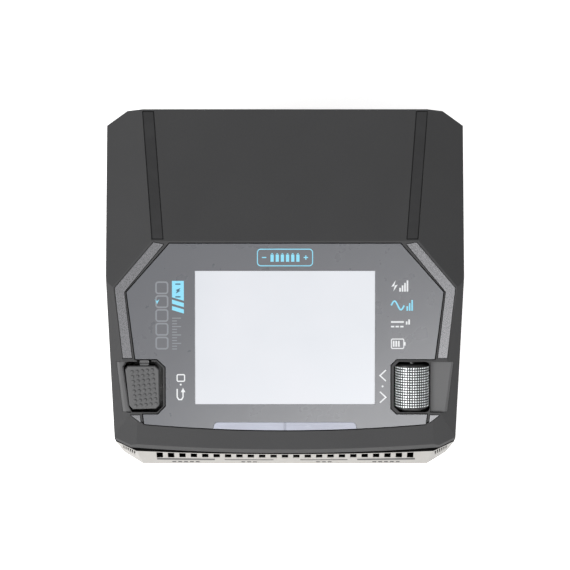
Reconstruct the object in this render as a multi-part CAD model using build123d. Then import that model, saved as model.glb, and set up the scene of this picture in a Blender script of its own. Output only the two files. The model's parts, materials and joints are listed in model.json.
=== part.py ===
from build123d import *
from math import cos, radians, sin, tan
import os

# Desktop balance battery charger: a dark faceted casing with a sloping display panel over a
# light-grey base. X is to the right, +Y to the rear, +Z up, millimetres.
# The origin is on the table, under the middle of the casing.

# ---------------------------------------------------------------- driving dimensions
width = 139.4
depth = 129.6
height = 66.0
wall = 2.4
gap = 0.15                      # clearance around pieces that are let in
shadow_gap = 0.4                # wider joint that shows as a dark line
trim_gap = 0.25
edge_radius = 0.5               # small rounding along the facets

roof_depth = 53.4               # flat roof, front to back
roof_half_front = 51.9          # half width of the roof where the panel starts
roof_half_rear = 55.6
panel_slope = radians(21.6)
shoulder_slope = radians(22.3)

seam_height = 29.4              # bottom edge of the dark casing
seam_gap = 0.3
groove_tall = 1.6               # shadow groove around the top of the grey base
groove_depth = 1.0
rim_rise = 3.0                  # steep band between that edge and the lip
rim_lean = radians(15)
lip_slope = radians(45)
bow_radius = 780.0              # the front is slightly bowed in plan
corner_heading = radians(26.3)  # how far the front corner faces turn outwards
corner_slope = radians(47.3)

visor_bottom = 15.0             # underside of the vented visor
visor_lean = 1.1                # how far its lower front edge stands out
bay_depth = 6.4                 # how far the port wall stands back under it
base_inset = 3.2                # how far the grey shell leans in below the seam
foot_height = 1.6
floor_top = 3.4
board_thick = 1.6
main_board_top = 6.2
supply_board_top = 25.6

rear_y = depth / 2
front_y = -depth / 2
side_x = width / 2
fold_y = rear_y - roof_depth    # line where the roof turns into the panel
port_wall_y = front_y + bay_depth

panel = Plane(
    origin=(0, fold_y, height),
    x_dir=(1, 0, 0),
    z_dir=(0, -sin(panel_slope), cos(panel_slope)),
)
panel_normal = Vector(0, -sin(panel_slope), cos(panel_slope))
up_slope = Vector(0, cos(panel_slope), sin(panel_slope))

# ---------------------------------------------------------------- panel layout
# Points on the panel are (distance from the middle, distance down the slope).
hexagon_vertex = (67.0, 18.3)
panel_low_corner = (60.6, 67.9)
lens_shoulder = [(44.84, 1.05), (61.54, 20.03), (58.25, 46.3)]
lens_corner = [(55.34, 68.1), (54.85, 71.9)]
button_notch = [(49.75, 46.3), (46.45, 49.4), (46.45, 64.9), (49.5, 68.1)]
roller_notch = [(43.3, 46.3), (41.05, 48.6), (41.05, 65.9), (43.4, 68.1)]
lens_bottom = 74.3
lens_thick = 1.2
window_half = 35.05
window_top = 11.73
window_bottom = 64.15
trim_outline = [
    (47.17, 1.29), (51.0, 0.55), (66.1, 18.38), (63.05, 45.9), (59.55, 45.9), (62.5, 19.95),
]
trim_thick = 1.0
trim_tip_outline = [(56.5, 68.4), (60.1, 68.4), (56.3, 71.3)]
button_opening = [
    (49.9, 47.3), (61.5, 47.3), (62.9, 49.5), (60.75, 65.1), (59.6, 67.2),
    (49.9, 67.2), (47.5, 65.0), (47.5, 49.6),
]
roller_opening = [
    (44.4, 47.3), (56.4, 47.3), (56.4, 67.2), (44.7, 67.2), (42.4, 65.0), (42.4, 49.2),
]
roller_opening_round = 1.8      # its two outer corners are rounded
plate_level = -1.3              # the thumb plates lie a little under the panel
plate_thick = 1.1
plate_ledge = -4.2
button_plate_outline = [
    (62.0, 47.6), (65.6, 47.6), (63.2, 67.2), (60.1, 67.2), (61.15, 65.3), (63.3, 49.6),
]
roller_plate_outline = [(56.75, 47.6), (65.6, 47.6), (63.2, 67.2), (56.75, 67.2)]
button_outline = [
    (50.56, 49.03), (61.14, 49.03), (62.2, 50.4), (60.63, 64.5), (59.23, 66.0),
    (50.27, 65.72), (48.9, 64.38), (49.08, 50.4),
]
button_proud = 0.3
button_depth = 2.4
nub_rows = 8
nub_columns = 5
nub_pitch_across = 1.99
nub_pitch_down = 1.91
nub_radius = 0.66
nub_height = 0.5
first_nub = (59.6, 51.3)
nub_row_turn = radians(6)       # the nub rows follow the slanting outer edge

hinge_x = 54.8                  # middle of the button's hinge lug
hinge_s = 47.9
hinge_drop = 3.6
lug_width = 3.4
ear_width = 1.9
ear_top = -2.5
ear_bottom = -5.0
ear_s = (45.0, 48.8)
hinge_notch_half = 2.9          # the opening widens beside the lug
hinge_notch_s = 46.6
hinge_pin_radius = 0.6
switch_s = 55.0

roller_x = 49.5
roller_top_s = 48.4
roller_length = 17.8
roller_radius = 6.7
roller_drop = 4.1               # the roller's axis lies this far under the panel
knurl_depth = 0.5
rim_width = 0.85
rim_chamfer = 0.5
roller_slot_half = 7.25         # half width of the pocket around the roller, under the panel
axle_radius = 1.0
running_gap = 0.05
press_travel = 0.5
roller_board_drop = 19.0

strip_half_front = 49.45        # middle of a roof strip where the panel starts
strip_half_rear = 53.5
strip_width = 3.9
strip_thick = 0.9

light_half = 27.6
light_top = 71.2
vent_count = 23
vent_pitch = 4.47
vent_width = 2.5
vent_tall = 4.3
vent_height = 24.7
corner_vent_pitch = 0.95
corner_vent_width = 0.55

board_drop = 6.0                # top of the control board, under the panel
board_screw_x = 39.3
board_screw_s = (13.0, 66.3)
roller_board_screws = [(59.3, 49.5), (59.3, 64.5), (46.0, 40.3)]
guide_s = (44.6, 70.2)
guide_radius = 1.0
ribbon_s = 58.0
ribbon_low_y = -41.5
fan_shaft_radius = 1.2
screw_posts = [(58.6, -52.5), (60.0, 51.0)]
busbar_x = (20.0, 32.0)
supply_posts = [(4.0, -16.0), (49.0, -16.0), (4.0, 42.0), (49.0, 42.0)]

xt60_wide = 15.9
xt60_tall = 8.1
output_x = 15.5
balance_x = 40.0
balance_wide = 19.9
balance_tall = 6.4
input_x = 9.0
usb_a_x = 26.5
usb_c_x = 41.0
inlet_x = 30.0
inlet_wide = 27.6
inlet_tall = 20.4
inlet_height = supply_board_top + inlet_tall / 2 + 0.2
fan_size = 50.0
fan_thick = 15.0
fan_x = -28.0
fan_height = 34.6
fan_screw_pitch = 40.0
rear_panel_thick = 2.0
rear_inner_y = rear_y - wall - rear_panel_thick


# ---------------------------------------------------------------- helpers
def outline(points):
    return make_face(Polyline(*[(x, y) for x, y in points], close=True))


def panel_sketch(points):
    """Outline on the panel, right-hand side."""
    return outline([(x, -s) for x, s in points])


def panel_solid(sketch, top, bottom):
    """Solid between two levels measured square to the panel; negative is below it."""
    return extrude(panel.offset(bottom) * sketch, top - bottom, dir=panel_normal)


def panel_box(x_low, x_high, s_low, s_high, top, bottom):
    corners = [(x_low, s_low), (x_high, s_low), (x_high, s_high), (x_low, s_high)]
    return panel_solid(panel_sketch(corners), top, bottom)


def panel_point(x, s, level=0.0):
    return panel.from_local_coords(Vector(x, -s, level))


def panel_rod(x, s, top, bottom, radius):
    """Round bar square to the panel."""
    return panel_solid(Pos(x, -s) * Circle(radius), top, bottom)


def slope_rod(x, s_low, s_high, level, radius):
    """Round bar lying along the slope."""
    section = Plane(origin=panel_point(x, s_high, level), x_dir=(1, 0, 0), z_dir=up_slope)
    return extrude(section * Circle(radius), s_high - s_low, dir=up_slope)


def block(x_low, x_high, y_low, y_high, z_low, z_high):
    middle = ((x_low + x_high) / 2, (y_low + y_high) / 2, (z_low + z_high) / 2)
    return Pos(*middle) * Box(x_high - x_low, y_high - y_low, z_high - z_low)


def upright(x, y, z_low, z_high, radius):
    return Pos(x, y, (z_low + z_high) / 2) * Cylinder(radius, z_high - z_low)


def along_y(x, z, y_low, y_high, radius):
    bar = Rot(90, 0, 0) * Cylinder(radius, y_high - y_low)
    return Pos(x, (y_low + y_high) / 2, z) * bar


def left_of(shape):
    return mirror(shape, about=Plane.YZ)


def both(shape):
    return [shape, left_of(shape)]


def group(shapes):
    """Several separate solids in one node."""
    solids = [solid for shape in shapes for solid in shape.solids()]
    return Compound(children=solids)


def save(name, shape):
    export_step(shape, f"parts/{name}.step")


def behind(body, point, normal):
    """The part of the body on the side of a plane that its normal points away from."""
    return split(body, bisect_by=Plane(origin=point, z_dir=normal), keep=Keep.BOTTOM)


# ---------------------------------------------------------------- outer form of the dark casing
def skin_faces():
    """A point and an outward normal for every flat face on the right-hand side."""
    roof_edge = Vector(roof_half_rear - roof_half_front, roof_depth, 0).normalized()
    shoulder_normal = (
        Vector(roof_edge.Y, -roof_edge.X, 0) * sin(shoulder_slope)
        + Vector(0, 0, cos(shoulder_slope))
    )
    vertex = panel_point(*hexagon_vertex)
    low_corner = panel_point(*panel_low_corner)
    chin = Vector(66.8, fold_y - 69.8, seam_height + 2.1)
    cheek_normal = (low_corner - vertex).cross(chin - low_corner).normalized()
    corner_out = Vector(sin(corner_heading), -cos(corner_heading), 0)
    corner_normal = corner_out * sin(corner_slope) + Vector(0, 0, cos(corner_slope))
    rim_normal = corner_out * cos(rim_lean) + Vector(0, 0, sin(rim_lean))
    return [
        (Vector(roof_half_front, fold_y, height), shoulder_normal),
        (vertex, cheek_normal),
        (low_corner, corner_normal),
        (Vector(62.5, fold_y - 72.8, seam_height), rim_normal),
        (Vector(side_x, fold_y - 12, 0), Vector(58.8, -3.0, 0).normalized()),
        (Vector(61.6, rear_y, 0), Vector(5.0, 8.1, 0).normalized()),
    ]


def bowed_front(inset, bottom):
    """Everything behind the bowed rim and lip, turned about a far-off upright axis."""
    axis_y = front_y + bow_radius
    lip_start = bow_radius - rim_rise * tan(rim_lean)

    def rim_at(z):
        return bow_radius - (z - seam_height) * tan(rim_lean) - inset / cos(rim_lean)

    def lip_at(z):
        return lip_start - (z - seam_height - rim_rise) / tan(lip_slope) - inset / sin(lip_slope)

    closing = 1 / tan(lip_slope) - tan(rim_lean)
    edge_z = seam_height + (lip_at(seam_height) - rim_at(seam_height)) / closing
    inner = bow_radius - depth - 20
    profile = [
        (inner, bottom), (rim_at(bottom), bottom), (rim_at(edge_z), edge_z),
        (lip_at(height), height), (inner, height),
    ]
    section = make_face(Polyline(*[(0, axis_y - r, z) for r, z in profile], close=True))
    return revolve(section, Axis((0, axis_y, 0), (0, 0, 1)), 360)


def skin(inset=0.0, bottom=seam_height):
    """Outer form of the dark casing, or the same form with every face moved inwards."""
    body = block(-side_x + inset, side_x - inset, front_y - 5, rear_y - inset, bottom, height - inset)
    body = behind(body, panel_point(0, 0, -inset), panel_normal)
    for point, normal in skin_faces():
        body = behind(body, point - normal * inset, normal)
        flipped = Vector(-normal.X, normal.Y, normal.Z)
        body = behind(body, Vector(-point.X, point.Y, point.Z) - flipped * inset, flipped)
    return body & bowed_front(inset, bottom)


# ---------------------------------------------------------------- light-grey base
def seam_plan(inset):
    """Plan of the grey shell just under the seam."""
    front_corner = (58.5, fold_y - 74.6)
    right = [
        (61.6, rear_y), (side_x, rear_y - 5), (side_x, fold_y - 12), (66.7, fold_y - 70.8), front_corner,
    ]
    return plan_face(right, front_y + 0.1, inset)


def visor_plan(inset):
    """Plan at the visor's lower edge, where the front is straight."""
    front_corner = (55.7, front_y - visor_lean)
    right = [
        (59.0, rear_y), (side_x - base_inset, rear_y - 4.6), (side_x - base_inset, fold_y - 12),
        (63.5, fold_y - 72.4), front_corner,
    ]
    return plan_face(right, front_y - visor_lean, inset)


def plan_face(right, middle_front_y, inset):
    left = [(-x, y) for x, y in reversed(right)]
    sides = Polyline(*left, *right)
    if abs(middle_front_y - right[-1][1]) < 0.01:
        nose = Line(right[-1], left[0])
    else:
        nose = ThreePointArc(right[-1], (0, middle_front_y), left[0])
    face = make_face([sides, nose])
    if inset:
        face = offset(face, -inset, kind=Kind.INTERSECTION)
    return face


def base_plan(inset):
    """Plan of the part under the visor, with the port wall set back."""
    keep = Rectangle(2 * side_x, depth, align=(Align.CENTER, Align.MIN))
    return visor_plan(inset) & (Pos(0, port_wall_y + inset) * keep)


def visor_solid(inset, low, high):
    slab = loft([Pos(0, 0, visor_bottom) * visor_plan(inset),
                 Pos(0, 0, seam_height - seam_gap) * seam_plan(inset)], ruled=True)
    return slab & block(-side_x, side_x, front_y - 1, rear_y + 1, low, high)


# ---------------------------------------------------------------- casing pieces
def lens_face():
    """The lens outline: straight sides, a notch for each control and a bowed lower edge."""
    right = [(x, -s) for x, s in lens_shoulder + roller_notch + lens_corner]
    left = [(-x, -s) for x, s in lens_shoulder + button_notch + lens_corner]
    edges = Polyline(*reversed(left), *right)
    bow = ThreePointArc(right[-1], (0, -lens_bottom), left[-1])
    return make_face([edges, bow])


def light_face():
    """The light bar along the lens's lower edge."""
    right = [
        (light_half - 0.9, -light_top), (light_half, -light_top - 0.9),
        (light_half + 0.6, -lens_bottom - 1),
    ]
    left = [(-x, y) for x, y in reversed(right)]
    return outline(right + left) & lens_face()


def strip_face(clear=0.0):
    """Plan of a roof strip: a narrow band that fans out towards the rear."""
    half_width = strip_width / 2 + clear
    front = fold_y + 1.0 - clear
    rear = rear_y - 1.2 + clear
    return outline([
        (strip_half_front - half_width, front), (strip_half_front + half_width, front),
        (strip_half_rear + half_width, rear), (strip_half_rear - half_width, rear),
    ])


def screw_boss(x, y):
    return upright(x, y, seam_height, height, 3.6) & skin_inner


def top_shell():
    shell = outer_skin - skin_inner
    for x, y in screw_posts:
        for boss in both(screw_boss(x, y)):
            shell = shell + boss
        for hole in both(upright(x, y, seam_height - 1, seam_height + 9, 1.3)):
            shell = shell - hole
    shell = shell + board_bosses() + control_ledges()
    shell = shell - panel_solid(offset(lens_face(), shadow_gap), 1, -lens_thick - 0.05)
    for face in both(panel_sketch(trim_outline)) + both(panel_sketch(trim_tip_outline)):
        shell = shell - panel_solid(offset(face, trim_gap), 1, -trim_thick)
    for face in both(strip_face(shadow_gap)):
        shell = shell - extrude(Pos(0, 0, height - strip_thick) * face, 5)
    shell = shell - panel_box(
        -window_half - 1.6, window_half + 1.6, window_top - 1.6, window_bottom + 1.6, 1, -9)
    for x in (-light_half / 2, light_half / 2):
        shell = shell - panel_box(x - 2, x + 2, light_top + 0.5, light_top + 2.3, 1, -9)
    shell = shell - control_openings()
    opening = block(-53.6, 53.6, rear_y - wall - 1, rear_y + 1, seam_height - 1, 60.4)
    return shell - opening


def board_bosses():
    bosses = [
        panel_rod(sx * board_screw_x, s, -wall + 0.5, -board_drop, 1.9) - panel_rod(
            sx * board_screw_x, s, -wall - 0.5, -board_drop - 1, 0.9)
        for sx in (-1, 1) for s in board_screw_s
    ]
    bosses += [
        panel_rod(x, s, -wall + 0.5, -roller_board_drop, 2.2) - panel_rod(
            x, s, -roller_board_drop + 6, -roller_board_drop - 1, 0.9)
        for x, s in roller_board_screws
    ]
    return Compound(children=bosses)


def control_ledges():
    """Thicker wall under the thumb plates, and the ears that hold the button's hinge pin."""
    roller_ledge = panel_solid(offset(panel_sketch(roller_plate_outline), 0.8), -1.5, plate_ledge)
    button_ledge = panel_solid(offset(panel_sketch(button_plate_outline), 0.8), -1.5, plate_ledge)
    ledges = (roller_ledge + left_of(button_ledge)) & skin_behind_plates
    for side in (-1, 1):
        middle = hinge_x + side * (lug_width / 2 + 0.2 + ear_width / 2)
        ear = panel_box(middle - ear_width / 2, middle + ear_width / 2, *ear_s, -2.0, ear_bottom)
        ledges = ledges + left_of(ear)
    return ledges


def control_openings():
    """What is cut away for the button, the roller and their thumb plates."""
    low_s = roller_top_s - 0.7
    high_s = roller_top_s + roller_length + 0.7
    opening = panel_sketch(roller_opening)
    outer_corners = opening.vertices().group_by(Axis.X)[-1]
    cuts = panel_solid(fillet(outer_corners, roller_opening_round), 1, -9)
    cuts = cuts + panel_box(
        roller_x - roller_slot_half, roller_x + roller_slot_half, low_s, high_s, -1.3, -9)
    cuts = cuts + plate_recess(roller_plate_outline)
    button_cut = panel_solid(panel_sketch(button_opening), 1, -9)
    lug_half = lug_width / 2 + 0.2
    ears = panel_box(
        hinge_x - lug_half - ear_width, hinge_x + lug_half + ear_width, *ear_s, ear_top, -9)
    notch = panel_box(hinge_x - lug_half, hinge_x + lug_half, hinge_notch_s, 49.4, 1, -6)
    wide_notch = panel_box(
        hinge_x - hinge_notch_half, hinge_x + hinge_notch_half, hinge_notch_s, 49.4, 1, ear_top)
    button_cut = (button_cut - ears) + notch + wide_notch
    button_cut = button_cut + hinge_pin(hinge_pin_radius) + plate_recess(button_plate_outline)
    return cuts + left_of(button_cut)


def plate_recess(points):
    return panel_solid(offset(panel_sketch(points), gap), 6, plate_level - plate_thick)


def hinge_pin(radius):
    """The button's pin, drawn on the right-hand side."""
    half = lug_width / 2 + 0.2 + ear_width
    start = panel_point(hinge_x - half, hinge_s, -hinge_drop)
    return extrude(Plane(origin=start, z_dir=(1, 0, 0)) * Circle(radius), 2 * half, dir=(1, 0, 0))


def bottom_shell():
    lower = extrude(Pos(0, 0, foot_height) * base_plan(0), visor_bottom - foot_height)
    lower = chamfer(lower.edges().group_by(Axis.Z)[0], 1.2)
    shell = lower + visor_solid(0, visor_bottom, seam_height - seam_gap - groove_tall)
    shell = shell + visor_solid(groove_depth, visor_bottom, seam_height)
    hollow = extrude(Pos(0, 0, floor_top) * base_plan(wall), visor_bottom + 4 - floor_top)
    shell = shell - hollow - visor_solid(wall, visor_bottom + 2, seam_height)
    shell = shell + screw_towers()
    for x, y in screw_posts:
        for cut in both(upright(x, y, 0, seam_height + 1, 1.7)):
            shell = shell - cut
        for cut in both(upright(x, y, 0, 17, 3.1)):
            shell = shell - cut
    for x, y in main_screw_places():
        shell = shell + upright(x, y, floor_top - 0.5, main_board_top - board_thick, 2.8)
        shell = shell - upright(x, y, foot_height + 0.5, 10, 1.05)
    shell = shell - front_vents() - corner_vents() - side_vents() - floor_vents() - port_holes()
    opening = block(-53.6, 53.6, rear_y - wall - 1, rear_y + 1, 5.4, seam_height + 1)
    shell = shell - opening
    for x, y in foot_places():
        shell = shell - upright(x, y, 0, foot_height + 0.6, 5.1)
    return shell - rating_pocket()


def screw_towers():
    """Posts from the floor to the seam, trimmed to stay inside the walls."""
    solid = extrude(Pos(0, 0, foot_height) * base_plan(0.3), visor_bottom - foot_height)
    solid = solid + visor_solid(groove_depth, visor_bottom, seam_height)
    towers = None
    for x, y in screw_posts:
        for tower in both(upright(x, y, foot_height, seam_height - seam_gap, 4.6)):
            towers = tower if towers is None else towers + tower
    return towers & solid


def front_vents():
    """Row of slots whose sills fall away steeply inside the wall."""
    top = vent_height + vent_tall / 2
    sill = vent_height - vent_tall / 2
    inner_floor = visor_bottom + 2.1
    section = outline([
        (front_y - 2, top), (front_y + 6, top), (front_y + 6, inner_floor),
        (front_y + 0.4, inner_floor), (front_y - 0.1, sill), (front_y - 2, sill),
    ])
    first = -(vent_count - 1) / 2 * vent_pitch
    slots = []
    for i in range(vent_count):
        start = Plane(origin=(first + i * vent_pitch - vent_width / 2, 0, 0),
                      x_dir=(0, 1, 0), z_dir=(1, 0, 0))
        slots.append(extrude(start * section, vent_width, dir=(1, 0, 0)))
    return Compound(children=slots)


def corner_vents():
    """Six narrow slots in each front corner face of the visor."""
    slots = []
    for i in range(6):
        along = (i - 2.5) * corner_vent_pitch
        slot = Rot(0, 0, 26) * Pos(along, 0, 0) * Box(corner_vent_width, 7, 5.0)
        slots += both(Pos(60.7, fold_y - 72.7, 24.1) * slot)
    return Compound(children=slots)


def side_vents():
    slots = []
    for i in range(9):
        y = -14 + i * 5.0
        slots += both(block(60, 72, y - 1.1, y + 1.1, 6.5, 13.5))
    return Compound(children=slots)


def floor_vents():
    slots = []
    for row in range(7):
        y = -30 + row * 5.0
        slots += both(Pos(31, y, floor_top - 1) * Box(26, 2.0, 8))
    return Compound(children=slots)


def port_holes():
    """Cut-outs in the port wall under the visor."""
    cuts = []
    for x in (-output_x, output_x):
        cuts.append(port_hole(x, xt60_wide, xt60_tall))
    for x in (-balance_x, balance_x):
        cuts.append(port_hole(x, balance_wide, balance_tall))
    return Compound(children=cuts)


def port_hole(x, wide, tall):
    clear = 0.25
    return block(x - wide / 2 - clear, x + wide / 2 + clear, port_wall_y - 1, port_wall_y + wall + 1,
                 main_board_top - clear, main_board_top + tall + clear)


def foot_places():
    return [(sx * 50, y) for sx in (-1, 1) for y in (-46, 46)]


def rating_pocket():
    return Pos(0, 22, foot_height) * Box(46, 26, 0.6)


def rear_panel():
    plate = block(-56, 56, rear_inner_y, rear_inner_y + rear_panel_thick, 3.6, 62.0)
    bars = [
        Pos(fan_x, rear_inner_y + 1, fan_height - 20 + i * 4.45) * Box(fan_size, 6, 2.5)
        for i in range(10)
    ]
    grille = Compound(children=bars) & along_y(
        fan_x, fan_height, rear_inner_y - 1, rear_inner_y + 4, 22.5)
    plate = plate - grille
    for x, z in fan_screw_places():
        plate = plate - along_y(x, z, rear_inner_y - 1, rear_inner_y + 4, 1.8)
    clear = 0.2
    for x, wide, tall in rear_ports():
        plate = plate - block(x - wide / 2 - clear, x + wide / 2 + clear, rear_inner_y - 1,
                              rear_inner_y + 4, main_board_top - clear, main_board_top + tall + clear)
    plate = plate - block(
        inlet_x - inlet_wide / 2 - clear, inlet_x + inlet_wide / 2 + clear, rear_inner_y - 1,
        rear_inner_y + 4, inlet_height - inlet_tall / 2 - clear, inlet_height + inlet_tall / 2 + clear)
    return plate


def fan_screw_places():
    half = fan_screw_pitch / 2
    return [(fan_x + sx * half, fan_height + sz * half) for sx in (-1, 1) for sz in (-1, 1)]


def rear_ports():
    """Middle, width and height of the ports that stand on the main board's rear edge."""
    return [(input_x, xt60_wide, xt60_tall), (usb_a_x, 13.2, 5.8), (usb_c_x, 9.0, 3.3)]


def display_lens():
    face = lens_face()
    window = Pos(0, -(window_top + window_bottom) / 2) * Rectangle(
        2 * window_half, window_bottom - window_top)
    face = face - window - offset(light_face(), 0.1)
    return panel_solid(face, 0, -lens_thick)


def light_guide():
    """Clear bar with two fine grooves at its middle, and a stem down to each lamp."""
    guide = panel_solid(light_face(), 0, -lens_thick)
    for x in (-0.35, 0.35):
        guide = guide - panel_box(x - 0.08, x + 0.08, light_top - 1, lens_bottom + 2, 1, -0.3)
    for x in (-light_half / 2, light_half / 2):
        guide = guide + panel_box(
            x - 1.8, x + 1.8, light_top + 0.7, light_top + 2.1, -lens_thick, -board_drop + 1.6)
    return guide


def thumb_plate(points):
    return panel_solid(panel_sketch(points), plate_level, plate_level - plate_thick) & outer_skin


def roof_strip():
    return extrude(Pos(0, 0, height - strip_thick) * strip_face(), strip_thick - 0.1)


# ---------------------------------------------------------------- exit button
def exit_button():
    """Hinged plate with rows of small domes, drawn on the right-hand side."""
    plate = panel_solid(panel_sketch(button_outline), button_proud, -button_depth)
    plate = chamfer(top_edges(plate, button_proud), 0.35)
    plate = plate + hinge_lug() - hinge_pin(hinge_pin_radius + running_gap)
    for x, s in nub_places():
        nub = Pos(x, -s) * Circle(nub_radius)
        dome = panel_solid(nub, button_proud + nub_height, button_proud - 0.3)
        plate = plate + chamfer(top_edges(dome, button_proud + nub_height), 0.3)
    return plate


def hinge_lug():
    """Tongue at the button's upper edge, with a groove across it and a barrel for the pin."""
    left, right = hinge_x - lug_width / 2, hinge_x + lug_width / 2
    tongue = panel_box(left, right, 46.85, 49.6, -0.9, -button_depth)
    groove = panel_box(left - 1, right + 1, 47.75, 48.2, 0, -1.5)
    barrel = panel_box(left, right, 46.85, 49.3, -button_depth, -hinge_drop - 1.1)
    return tongue - groove + barrel


def top_edges(body, level):
    """Edges of a piece that lie at its upper level on the panel."""
    return [
        edge for edge in body.edges()
        if abs(panel.to_local_coords(edge.center()).Z - level) < 0.01
    ]


def nub_places():
    places = []
    for row in range(nub_rows):
        for column in range(nub_columns):
            along = column * nub_pitch_across
            down = row * nub_pitch_down
            x = first_nub[0] - along * cos(nub_row_turn) - down * sin(nub_row_turn)
            s = first_nub[1] + down * cos(nub_row_turn) - along * sin(nub_row_turn)
            places.append((x, s))
    return places


def switch_parts(x, s, board_level, tall, plunger_top):
    """Small push switch: a body with a blind bore, and the plunger that slides in it."""
    body = panel_box(x - 3, x + 3, s - 3, s + 3, board_level + tall, board_level)
    body = body - panel_rod(x, s, board_level + tall + 1, board_level + 0.6, 1.66)
    plunger = panel_rod(x, s, plunger_top, board_level + 1.2, 1.6)
    return body, plunger


# ---------------------------------------------------------------- roller
def roller():
    """Drum with a raised rim at each end; its waist carries the knurling."""
    waist = roller_radius - knurl_depth
    end_s = roller_top_s + roller_length
    drum = slope_rod(roller_x, roller_top_s, end_s, -roller_drop, waist)
    for s_low in (roller_top_s, end_s - rim_width):
        ring = slope_rod(roller_x, s_low, s_low + rim_width, -roller_drop, roller_radius)
        drum = drum + chamfer(ring.edges().filter_by(at_drum_end), rim_chamfer)
    drum = drum - slope_rod(roller_x, roller_top_s - 1, end_s + 1, -roller_drop, axle_radius)
    return drum - roller_magnet_ring(0)


def at_drum_end(edge):
    down = -panel.to_local_coords(edge.center()).Y
    return min(abs(down - roller_top_s), abs(down - roller_top_s - roller_length)) < 0.01


def roller_magnet_ring(bore):
    end_s = roller_top_s + roller_length
    ring = slope_rod(roller_x, end_s - 2.4, end_s, -roller_drop, 4.6)
    if bore:
        ring = ring - slope_rod(roller_x, end_s - 3, end_s + 1, -roller_drop, bore)
    return ring


def roller_carriage():
    """Cradle that carries the roller's axle and slides square to the panel."""
    arm_half = 3.5
    low_arm_s = roller_top_s + roller_length + 0.5
    cradle = panel_box(roller_x - 4.5, roller_x + 4.5, roller_top_s - 2.2, low_arm_s + 1.7, -13.2, -14.8)
    cradle = cradle + panel_box(
        roller_x - 2.4, roller_x + 2.4, guide_s[0] - 1.5, guide_s[1] + 1.5, -13.2, -14.8)
    for s_low in (roller_top_s - 2.0, low_arm_s):
        cradle = cradle + panel_box(
            roller_x - arm_half, roller_x + arm_half, s_low, s_low + 1.5, -2.7, -14.0)
    cradle = cradle - slope_rod(
        roller_x, roller_top_s - 3, low_arm_s + 3, -roller_drop, axle_radius + running_gap)
    for s in guide_s:
        cradle = cradle - panel_rod(roller_x, s, -12, -16, guide_radius + running_gap)
    return cradle


def roller_board():
    shape = panel_sketch([
        (43.5, 38.0), (62.0, 38.0), (62.0, 68.5), (55.0, 68.5), (51.8, 71.8), (43.5, 71.8),
    ])
    board = panel_solid(shape, -roller_board_drop, -roller_board_drop - board_thick)
    for x, s in roller_board_screws:
        board = board - panel_rod(x, s, -roller_board_drop + 1, -roller_board_drop - 3, 1.1)
    return board


def panel_screw(x, s, board_level, length):
    head = panel_rod(x, s, board_level, board_level - 1.2, 1.7)
    head = head - panel_box(x - 1.2, x + 1.2, s - 0.25, s + 0.25, board_level - 0.7, board_level - 2)
    return head + panel_rod(x, s, board_level + length, board_level, 0.85)


# ---------------------------------------------------------------- display electronics
def lcd_frame():
    frame = panel_box(
        -window_half - 1.35, window_half + 1.35, window_top - 1.35, window_bottom + 1.35,
        -lens_thick - 0.1, -board_drop)
    return frame - panel_box(
        -window_half + 0.1, window_half - 0.1, window_top + 0.1, window_bottom - 0.1, 1, -3.0)


def lcd_screen():
    return panel_box(
        -window_half + 0.15, window_half - 0.15, window_top + 0.15, window_bottom - 0.15, -0.15, -3.0)


def control_board():
    shape = panel_sketch([
        (-58.5, 21.0), (-44.0, 9.0), (42.0, 9.0), (42.0, 68.3), (20.0, 68.3), (20.0, 74.3),
        (-20.0, 74.3), (-20.0, 68.3), (-52.0, 68.3), (-58.5, 62.0),
    ])
    board = panel_solid(shape, -board_drop, -board_drop - board_thick)
    for sx in (-1, 1):
        for s in board_screw_s:
            board = board - panel_rod(sx * board_screw_x, s, 0, -9, 1.0)
    return board


def status_leds():
    lamps = [
        panel_box(x - 1.6, x + 1.6, light_top + 0.5, light_top + 2.3, -board_drop + 1.5, -board_drop)
        for x in (-light_half / 2, light_half / 2)
    ]
    return group(lamps)


def ribbon_sockets():
    upper = panel_box(-7.2, 7.2, ribbon_s - 2.2, ribbon_s + 2.2, -board_drop - board_thick,
                      -board_drop - board_thick - 2)
    lower = block(-7.2, 7.2, ribbon_low_y - 2.2, ribbon_low_y + 2.2, main_board_top, main_board_top + 2)
    return group([upper, lower])


def display_ribbon():
    """Flat flexible cable between the two boards, with a gentle double bend."""
    start = panel_point(0, ribbon_s, -board_drop - board_thick - 2)
    path = FilletPolyline(
        (start.Y, start.Z), (start.Y, start.Z - 9), (ribbon_low_y, main_board_top + 10),
        (ribbon_low_y, main_board_top + 2), radius=4)
    band = trace(path, 0.4)
    strip = extrude(Plane(origin=(-6, 0, 0), x_dir=(0, 1, 0), z_dir=(1, 0, 0)) * band, 12)
    return strip & block(-7, 7, -60, 0, main_board_top + 2, start.Z - 0.45)


# ---------------------------------------------------------------- main and supply boards
def main_board():
    board = block(-52, 52, port_wall_y + wall + 0.5, rear_inner_y - 0.4,
                  main_board_top - board_thick, main_board_top)
    for x, y in main_screw_places():
        board = board - upright(x, y, 0, 10, 1.5)
    return board


def main_screw_places():
    return [(-48.5, -42.0), (48.5, -42.0), (-48.5, 20.0), (48.5, 20.0), (-3.0, 56.0)]


def output_inductors():
    coils = []
    for x in (-38, -22, 22, 38):
        body = Pos(x, -26.8, main_board_top + 4.5) * Box(12, 12, 9)
        body = chamfer(body.edges().filter_by(Axis.Z), 2.0)
        coils.append(body)
    return group(coils)


def round_capacitor(x, y, base, radius, tall):
    can = upright(x, y, base, base + tall, radius)
    can = chamfer(can.edges().filter_by(GeomType.CIRCLE), 0.6)
    return can


def filter_capacitors():
    return group([round_capacitor(x, -37.5, main_board_top, 4.0, 12) for x in (-37, -27, -17, 17, 27, 37)])


def power_transistors():
    rows = [block(x - 2.5, x + 2.5, y - 3, y + 3, main_board_top, main_board_top + 1.2)
            for x in (-42, -32, -22, -12) for y in (-6, 14, 30)]
    return group(rows)


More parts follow.
